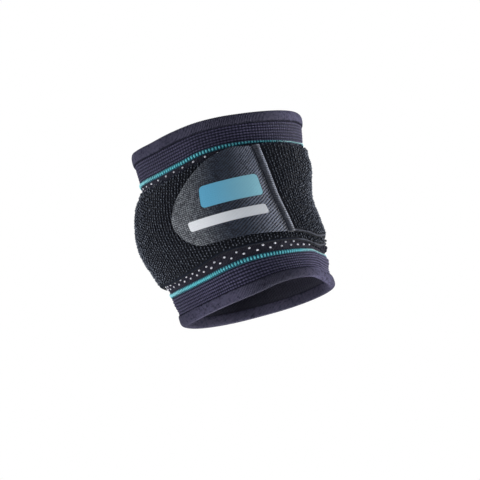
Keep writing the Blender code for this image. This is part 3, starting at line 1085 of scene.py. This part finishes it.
class SUPPORT_OT_stage(bpy.types.Operator):
    """Sets up the pale floor with its round backdrop, the soft lights and the camera"""

    bl_idname = "support.stage"
    bl_label = "Stage"

    def execute(self, context):
        settings = context.scene.support_stage
        self.add_backdrop(settings)
        world = bpy.data.worlds.new("even_light")
        world.use_nodes = True
        background = world.node_tree.nodes["Background"]
        background.inputs["Color"].default_value = (0.88, 0.98, 1.10, 1.0)
        background.inputs["Strength"].default_value = settings.fill_light
        context.scene.world = world
        for lamp in LAMPS:
            self.add_lamp(lamp, getattr(settings, lamp.name))
        context.scene.camera = self.add_camera()
        context.scene.view_settings.view_transform = "Standard"
        return {"FINISHED"}

    @staticmethod
    def add_backdrop(settings):
        """A floor that bends up into a round wall."""
        floor, rim, top, corner = -0.80, 2.6, 3.2, 0.6
        bend = np.linspace(0, math.pi / 2, 12)
        radius = np.concatenate([[0.01], rim - corner + corner * np.sin(bend), [rim]])
        height = np.concatenate([[floor], floor + corner - corner * np.cos(bend), [top]])
        turn = np.linspace(0, 2 * math.pi, 97)[:, None]
        points = together(-radius * np.sin(turn), radius * np.cos(turn), height)
        backdrop = add_grid("backdrop", points[::-1], points[::-1, :, :2], ring=True)
        close_ends(backdrop)
        backdrop.data.materials.append(plain_finish("pale_backdrop", settings.backdrop))
        backdrop.visible_diffuse = False
        backdrop.visible_glossy = False
        backdrop.visible_shadow = False

    @staticmethod
    def add_lamp(lamp, power):
        light = bpy.data.lights.new(lamp.name, "AREA")
        light.shape = "RECTANGLE"
        light.size = lamp.width
        light.size_y = LAMP_HEIGHT
        light.energy = power
        turn, rise = math.radians(lamp.azimuth), math.radians(lamp.elevation)
        level = math.cos(rise)
        place = Vector((math.sin(turn) * level, -math.cos(turn) * level, math.sin(rise))) * LAMP_DISTANCE
        obj = add_object(lamp.name, light)
        obj.location = place
        obj.rotation_euler = place.to_track_quat("Z", "Y").to_euler()
        obj.visible_camera = False

    @staticmethod
    def add_camera():
        """Looks up at the support from below its middle, with the arm leaning in the picture."""
        elevation, roll = math.radians(CAMERA_ELEVATION), math.radians(CAMERA_ROLL)
        back = Vector((0, -math.cos(elevation), math.sin(elevation)))
        level = Vector((1, 0, 0))
        upright = back.cross(level)
        right = level * math.cos(roll) - upright * math.sin(roll)
        up = level * math.sin(roll) + upright * math.cos(roll)
        pixels_right, pixels_down = PICTURE_SIDE / 2 - ORIGIN_PIXEL[0], PICTURE_SIDE / 2 - ORIGIN_PIXEL[1]
        aim = (right * pixels_right - up * pixels_down) / PIXELS_PER_METRE
        to_camera = (back * CAMERA_DISTANCE - aim).normalized()
        right = (right - to_camera * right.dot(to_camera)).normalized()
        turned = Matrix((right, to_camera.cross(right), to_camera)).transposed().to_4x4()
        camera = bpy.data.cameras.new("camera")
        camera.sensor_width = SENSOR_WIDTH
        camera.lens = SENSOR_WIDTH * PIXELS_PER_METRE * CAMERA_DISTANCE / PICTURE_SIDE
        obj = add_object("camera", camera)
        obj.matrix_world = Matrix.Translation(back * CAMERA_DISTANCE) @ turned
        return obj


class SUPPORT_OT_sleeve(bpy.types.Operator):
    """Knits the sleeve's tube, with ridged cuffs and a plainer zone under the strap"""

    bl_idname = "support.sleeve"
    bl_label = "Sleeve"

    def execute(self, context):
        knit = context.scene.support_knit
        steps, plain_depth, inner_depth = 4, 0.5, -0.4
        cuff = np.arange(knit.courses * steps + 1) / steps
        cuff_heights = STRIPE_HEIGHT + cuff * CUFF_HEIGHT / knit.courses
        end = HALF_LENGTH - HEM_HEIGHT + HEM_TUCK
        middle = np.linspace(-STRIPE_HEIGHT, STRIPE_HEIGHT, 60)[1:-1]
        inner = np.linspace(end, -end, 20)
        course = np.concatenate([[-end], -cuff_heights[::-1], middle, cuff_heights, [end], inner, [-end]])
        number = np.concatenate([[0], cuff[::-1], 0 * middle + 0.5, cuff, [0], 0 * inner + 0.5, [0]])
        lift = np.concatenate([np.zeros(len(course) - len(inner) - 1), 0 * inner - KNIT_THICKNESS, [0]])
        ridges = 0 * cuff + 1
        plain = 0 * middle + plain_depth
        ribbing = np.concatenate([[0], ridges, plain, ridges, [0], 0 * inner + inner_depth, [0]])
        wale = np.arange(DOTS_ROUND * WALES_PER_DOT * steps + 1)[:, None] / steps
        points = on_wale(wale, course, lift)
        # Painted light and shade round the arm for the cuffs' yarn
        wear = np.where(course > 0, painted_light_at(points, "upper_cuff"), painted_light_at(points, "lower_cuff"))
        marks = {"course": number, "wale": wale, "ribbing": ribbing, "wear": wear}
        sleeve = add_grid("knitted_sleeve", points, together(wale, number), ring=True, tube=True, marks=marks)
        ribbed(sleeve, knit.rib_depth, knit.crossing, knit_finish(knit))
        keep(sleeve, ["knit_sleeve"])
        return {"FINISHED"}


class SUPPORT_OT_hems(bpy.types.Operator):
    """Turns the hem at each end of the sleeve"""

    bl_idname = "support.hems"
    bl_label = "Hems"

    def execute(self, context):
        sides, steps, fullness, rib_depth = 24, 6, 3.2, 0.00020
        turn = np.linspace(0, 2 * math.pi, sides + 1)
        rise = np.sign(np.sin(turn)) * np.abs(np.sin(turn)) ** (2 / fullness) * HEM_HEIGHT / 2
        out = np.sign(np.cos(turn)) * np.abs(np.cos(turn)) ** (2 / fullness) * HEM_THICKNESS / 2
        wale = np.arange(DOTS_ROUND * WALES_PER_DOT * steps + 1)[:, None] / steps
        hem_yarn = hem_finish(context.scene.support_knit)
        for name, end in (("upper_hem", 1), ("lower_hem", -1)):
            middle = end * (HALF_LENGTH - HEM_HEIGHT / 2)
            points = on_wale(wale, middle + rise, HEM_PROUD - HEM_THICKNESS / 2 + out)
            # How near each place is to where the hem meets the cuff, for its painted shade
            crease = np.maximum(0.0, -end * np.sin(turn))
            marks = {"course": 0.5, "wale": wale * 2.0, "ribbing": 1.0, "crease": crease}
            # Painted light and shade round the arm for the hem's yarn
            marks["wear"] = painted_light_at(points, name)
            hem = add_grid(name + "_band", points, together(wale, turn), ring=True, tube=True, marks=marks)
            ribbed(hem, rib_depth, 1.0, hem_yarn)
            keep(hem, [name])
        return {"FINISHED"}


class SUPPORT_OT_stripes(bpy.types.Operator):
    """Knits the two raised teal courses, stitch by stitch on a darker thread"""

    bl_idname = "support.stripes"
    bl_label = "Teal stripes"

    def execute(self, context):
        knit = context.scene.support_knit
        ground = thread_finish("deep_teal_yarn", knit.teal_dark)
        smooth_yarn = {"roughness": 0.6, "sheen": 0.2, "pale": knit.teal_pale}
        teal = yarn_finish("teal_yarn", knit.teal_dark, knit.teal_light, (0.3, 0.8), 0.15, **smooth_yarn)
        turn = np.linspace(0, 2 * math.pi, 9)
        wales = DOTS_ROUND * WALES_PER_DOT
        wale = np.arange(wales + 1)[:, None]
        stitch = np.arange(wales) + 0.5

        def place(across, along):
            return on_wale(across, along, PIECE_GAP + STRIPE_THICKNESS * 0.45)

        for name, end in (("upper_stripe", 1), ("lower_stripe", -1)):
            course = end * STRIPE_HEIGHT
            rise = np.sin(turn) * STRIPE_WIDTH * 1.05 * self.fullness(wale, end)
            lift = PIECE_GAP + STRIPE_THICKNESS * (0.20 + 0.20 * np.cos(turn))
            points = on_wale(wale, course + rise, lift)
            thread = add_grid(name + "_thread", points, together(wale, turn), ring=True, tube=True)
            thread.data.materials.append(ground)
            keep(thread, [name])
            at = (stitch, np.full(wales, course), (0.05, 0.0001))
            # shade darkens the teal at the front as painted shade
            look = {"lie": (0.0, self.fullness(stitch, end)), "shade": self.depth(stitch, end)}
            keep(sewn(name + "_stitches", TEAL_STITCH, place, *at, teal, **look), [])
        return {"FINISHED"}

    @staticmethod
    def fullness(wale, end):
        """How full the upper stripe, end 1, or the lower one, end -1, stands at this wale."""
        lower, upper = interpolate(STRIPE_FULLNESS, dot_angle(wale / WALES_PER_DOT, end))
        return upper if end > 0 else lower

    @staticmethod
    def depth(wale, end):
        """How deep a stripe's teal is: 1 at the front, where shade is painted into it, and below 0 where it
        is pale.
        """
        middle, tight_right = (4, 28) if end > 0 else (9, 36)
        front, front_fade, tight_left, back = 46, 36, -42, 110
        angle = dot_angle(wale / WALES_PER_DOT, end)
        pale = smoothstep((angle - tight_right) / 34) * 0.85 + smoothstep((tight_left - angle) / 20) * 0.30
        # Painted shade at the front, where the lights fall less
        return smoothstep((front - np.abs(angle - middle)) / front_fade) - pale * (np.abs(angle) < back)


class SUPPORT_OT_dots(bpy.types.Operator):
    """Sews the rows of pale dots between the strap and the stripes"""

    bl_idname = "support.dots"
    bl_label = "Dots"

    def execute(self, context):
        knit = context.scene.support_knit
        smooth_yarn = {"roughness": 0.6, "sheen": 0.2}
        white = yarn_finish("pale_yarn", knit.plain_colour, knit.dot_colour, (0.2, 0.7), 0.25, **smooth_yarn)
        dot = np.arange(DOTS_ROUND)
        near, far = interpolate(LOWER_DOT_GAPS, dot_angle(dot, -1))
        gaps = {"upper_dots": 0.0026, "upper_dots_inner": 0.0044, "lower_dots": near, "lower_dots_inner": far}

        def place(across, along):
            return on_wale(across, along, 0.0004)

        for row in DOT_ROWS:
            shown = np.abs(dot_angle(dot, row.end) - row.tucked_about) >= row.tucked_within
            course = row.end * (STRIPE_HEIGHT - gaps[row.name]) + np.zeros(DOTS_ROUND)
            wale = (dot + row.start) * float(WALES_PER_DOT)
            keep(sewn(row.name, DOT, place, wale[shown], course[shown], (0.05, 0.0001), white), [])
        return {"FINISHED"}


class SUPPORT_OT_ruck(bpy.types.Operator):
    """Sews the dark, rough stitches of the ruck that the strap pushes up below itself at the right"""

    bl_idname = "support.ruck"
    bl_label = "Ruck stitches"

    def execute(self, context):
        knit = context.scene.support_knit
        shade = [part * 0.55 for part in knit.plain_colour]
        dark = yarn_finish("dark_ruck_yarn", knit.groove_colour, shade, (0.4, 1.0), 0.9)
        angles, heights = np.arange(46.0, 152.0, 1.1), np.linspace(-0.038, 0.045, 7)
        angle_jitter, height_jitter, tallest, least_reach = 0.4, 0.006, 0.065, 0.12
        angle, height = np.meshgrid(angles, heights, indexing="ij")
        chance = np.random.default_rng(RUCK_STITCH.seed)
        angle = angle.ravel() + chance.uniform(-angle_jitter, angle_jitter, angle.size)
        height = height.ravel() + chance.uniform(-height_jitter, height_jitter, height.size)
        reach = np.exp(-(((angle - RUCK.angle) / RUCK.angle_spread) ** 2))
        shown = (np.abs(height) < tallest * reach) & (reach > least_reach)
        height = (RUCK.height + height) * HALF_LENGTH

        def place(across, along):
            return over_knit(across, along, 0.0001)

        at = (angle[shown], height[shown], (0.1, 0.0001))
        keep(sewn("ruck_stitches", RUCK_STITCH, place, *at, dark, (0.0, 1.0)), [])
        return {"FINISHED"}


class SUPPORT_OT_strap(bpy.types.Operator):
    """Winds the elastic strap round the sleeve, with the stitched edging along both of its edges"""

    bl_idname = "support.strap"
    bl_label = "Strap"

    def execute(self, context):
        strap = context.scene.support_strap
        flat, edge, out = band_section(25, 5, 9)
        turn = np.linspace(0, STRAP_TURN, 400)[:, None]
        radius = STRAP_BODY / 2
        half = STRAP_WIDTH / 2
        side = ((half - radius) * flat + radius * edge) / half
        cloth = together(np.radians(turn) * TAB_RADIUS, side * half)
        band = add_grid("strap_band", on_strap(turn, side, radius + radius * out), cloth, tube=True)
        close_ends(band)
        band.data.materials.append(strap_finish(strap))
        keep(band, ["strap"])
        self.add_edging(yarn_finish("grey_edging", strap.loop_dark, strap.edge_colour, (0.35, 0.9), 1.0))
        return {"FINISHED"}

    @staticmethod
    def add_edging(yarn):
        """A row of stitches along each edge. Near the front the lower row is pale, a painted highlight of the
        lights at the right.
        """
        edge, margin, pitch = 0.972, 0.3, 0.00095
        count = int(math.radians(STRAP_TURN) * TAB_RADIUS / pitch)
        turn = np.linspace(margin, STRAP_TURN - margin, count)
        # The lower row's painted highlight, which fades out beyond the right side
        beyond_highlight = smoothstep((turn - 60) / 30) * (1 - smoothstep((turn - 364) / 8))

        def place(across, along):
            return on_strap(across, along, STRAP_BODY - 0.0001)

        rows = (("upper_edging", edge, 1.0 + 0 * beyond_highlight), ("lower_edging", -edge, 0.1 + 0.9 * beyond_highlight))
        for name, row, shade in rows:
            at = (turn, np.full(count, row), (0.05, 0.001))
            keep(sewn(name, EDGE_STITCH, place, *at, yarn, shade=shade), [])


class SUPPORT_OT_pile(bpy.types.Operator):
    """Raises the strap's loop pile, in columns across its width"""

    bl_idname = "support.pile"
    bl_label = "Loop pile"

    def execute(self, context):
        strap = context.scene.support_strap
        columns = int(math.radians(STRAP_TURN) * TAB_RADIUS / strap.column_pitch)
        rows = int(STRAP_WIDTH / strap.loop_pitch)
        column, row = np.meshgrid(np.arange(columns), np.arange(rows), indexing="ij")
        first_turn, bare_turn, lowest_side, side_span = 0.9, 1.5, -0.955, 1.99
        turn_jitter, side_jitter, slant = 0.13, 0.2, 0.45
        spread = np.random.default_rng(PILE_LOOP.seed).uniform(-1, 1, (2, columns, rows))
        turn_share = (column + 0.5 + turn_jitter * spread[0]) * (STRAP_TURN - bare_turn) / columns
        side_share = (row + 0.5 + 0.5 * (column % 2) + side_jitter * spread[1]) / (rows + 0.5)
        turn = first_turn + turn_share
        side = side_share * side_span + lowest_side
        lean = np.where((row + column) % 2 == 0, slant, -slant)
        edge, worn_about, worn_within = 0.975, 308, 26
        worn_edge = (side > edge) & (np.abs(turn - worn_about) < worn_within)
        shown = ~self.covered(turn, side) & ~worn_edge

        def place(across, along):
            """The loops stand half out of the band, and less so at its upper edge."""
            loop_lift, edge_dip, dip_from, dip_fade = 0.0019, 0.0011, 0.96, 0.07
            return on_strap(across, along, loop_lift - edge_dip * smoothstep((along - dip_from) / dip_fade))

        fuzz = {"sheen": 0.04, "specular": 0.12}
        loops = yarn_finish("black_loop_pile", strap.loop_dark, strap.loop_light, (0.66, 1.0), 0.60, **fuzz)
        lie = (np.sin(lean[shown]), np.cos(lean[shown]))
        at = (turn[shown], side[shown], (0.05, 0.001))
        keep(sewn("strap_pile", PILE_LOOP, place, *at, loops, lie), [])
        return {"FINISHED"}

    @staticmethod
    def covered(turn, side):
        """Whether a loop lies out of sight under the strap's own start or under the tab."""
        strap_margin, tab_margin, tip_margin, before_seam = 0.0015, 0.005, 0.006, 2
        rise, width = interpolate(STRAP_ROUTE, turn / STRAP_TURN)
        height = STRAP_WIDTH * (rise + side * width / 2)
        over_rise, over_width = interpolate(STRAP_ROUTE, np.maximum(turn - 360, 0) / STRAP_TURN)
        gap = np.abs(height - STRAP_WIDTH * over_rise) - STRAP_WIDTH * over_width / 2
        under_strap = (turn > 360) & (gap < -strap_margin)
        to_seam = (360 - turn) * math.radians(1) * TAB_RADIUS
        half_width, tab_rise = interpolate(TAB_STATIONS, 1 - to_seam / TAB_LENGTH)
        tab_gap = np.abs(height - STRAP_WIDTH * tab_rise) - STRAP_WIDTH * half_width / 2
        beside_seam = (turn < 360 - before_seam) & (to_seam < TAB_LENGTH - tip_margin)
        under_tab = beside_seam & (tab_gap < -tab_margin)
        return under_strap | under_tab


class SUPPORT_OT_tab(bpy.types.Operator):
    """Cuts the rounded tab from coated cloth, with its hook tape below"""

    bl_idname = "support.tab"
    bl_label = "Tab"

    def execute(self, context):
        lift = SECOND_LAYER + HOOK_THICKNESS + PIECE_GAP
        face = self.add_layer("tab_cloth", lift, TAB_THICKNESS, 0.0, 160, 96, 5)
        face.data.materials.append(tab_finish(context.scene.support_tab))
        keep(face, ["tab_face"])
        tape = self.add_layer("hook_layer", SECOND_LAYER, HOOK_THICKNESS, HOOK_INSET, 80, 48, 3)
        tape.data.materials.append(hook_finish())
        keep(tape, ["hook_tape"])
        return {"FINISHED"}

    @staticmethod
    def add_layer(name, lift, thickness, inset, columns, rows, round_rows):
        flat, edge, out = band_section(rows, round_rows, rows // 4)
        first = inset / TAB_LENGTH
        length = (first + (1 - first) * np.linspace(0, 1, columns + 1) ** 1.4)[:, None]
        half_width, rise = interpolate(TAB_STATIONS, length)
        half = half_width * STRAP_WIDTH / 2
        half = half - np.minimum(inset, half / 2)
        radius = thickness / 2
        across = (half - radius) * flat + radius * edge
        points = on_tab(length, across, lift + radius + radius * out)
        layer = add_grid(name, points, together(length * TAB_LENGTH, across + STRAP_WIDTH * rise), tube=True)
        close_ends(layer)
        return layer


class SUPPORT_OT_seam(bpy.types.Operator):
    """Sews the slanted welt between the tab and the strap"""

    bl_idname = "support.seam"
    bl_label = "Seam"

    def execute(self, context):
        ribs, steps, rib_depth = 44, 4, 0.00012
        turn = -np.linspace(0, 2 * math.pi, 25)[:, None]
        rib = np.arange(ribs * steps + 1) / steps
        points = on_seam(-turn, rib / ribs * 2 - 1)
        marks = {"course": rib + 0.12 * np.sin(turn), "wale": 0.5, "ribbing": 1.0, "flank": -np.sin(turn)}
        seam = add_grid("seam_welt", points, together(turn, rib), ring=True, marks=marks)
        close_ends(seam)
        ribbed(seam, rib_depth, 0.0, seam_finish(context.scene.support_tab))
        keep(seam, ["tab_seam"])
        return {"FINISHED"}


class SUPPORT_OT_cloth(bpy.types.Operator):
    """Gathers the pieces that lie on the knitted sleeve, and does nothing more with them."""

    bl_idname = "support.cloth"
    bl_label = "Cloth sizes"

    def execute(self, context):
        piece = bpy.data.objects
        names = ("_hem_band", "_stripe_thread", "_stripe_stitches", "_dots", "_dots_inner")
        on_sleeve = [piece[end + name] for end in ("upper", "lower") for name in names]
        on_sleeve.append(piece["ruck_stitches"])
        return {"FINISHED"}


class SUPPORT_PT_panel(bpy.types.Panel):
    """The support's operators and settings in the sidebar"""

    bl_idname = "SUPPORT_PT_panel"
    bl_label = "Elbow Support"
    bl_space_type = "VIEW_3D"
    bl_region_type = "UI"
    bl_category = "Elbow Support"

    def draw(self, context):
        for operator in OPERATORS:
            self.layout.operator(operator.bl_idname)
        for name in GROUPS:
            group = getattr(context.scene, name)
            box = self.layout.box()
            for setting in group.__annotations__:
                box.prop(group, setting)


OPERATORS = (
    SUPPORT_OT_stage,
    SUPPORT_OT_sleeve,
    SUPPORT_OT_hems,
    SUPPORT_OT_stripes,
    SUPPORT_OT_dots,
    SUPPORT_OT_ruck,
    SUPPORT_OT_strap,
    SUPPORT_OT_pile,
    SUPPORT_OT_tab,
    SUPPORT_OT_seam,
    SUPPORT_OT_cloth,
)
GROUPS = {
    "support_knit": SUPPORT_PG_knit,
    "support_strap": SUPPORT_PG_strap,
    "support_tab": SUPPORT_PG_tab,
    "support_stage": SUPPORT_PG_stage,
}


def register():
    for name, group in GROUPS.items():
        bpy.utils.register_class(group)
        setattr(bpy.types.Scene, name, PointerProperty(type=group))
    for operator in OPERATORS:
        bpy.utils.register_class(operator)
    bpy.utils.register_class(SUPPORT_PT_panel)


def unregister():
    bpy.utils.unregister_class(SUPPORT_PT_panel)
    for operator in reversed(OPERATORS):
        bpy.utils.unregister_class(operator)
    for name, group in GROUPS.items():
        delattr(bpy.types.Scene, name)
        bpy.utils.unregister_class(group)


def main():
    register()
    for operator in OPERATORS:
        family, name = operator.bl_idname.split(".")
        getattr(getattr(bpy.ops, family), name)()


if __name__ == "__main__":
    main()
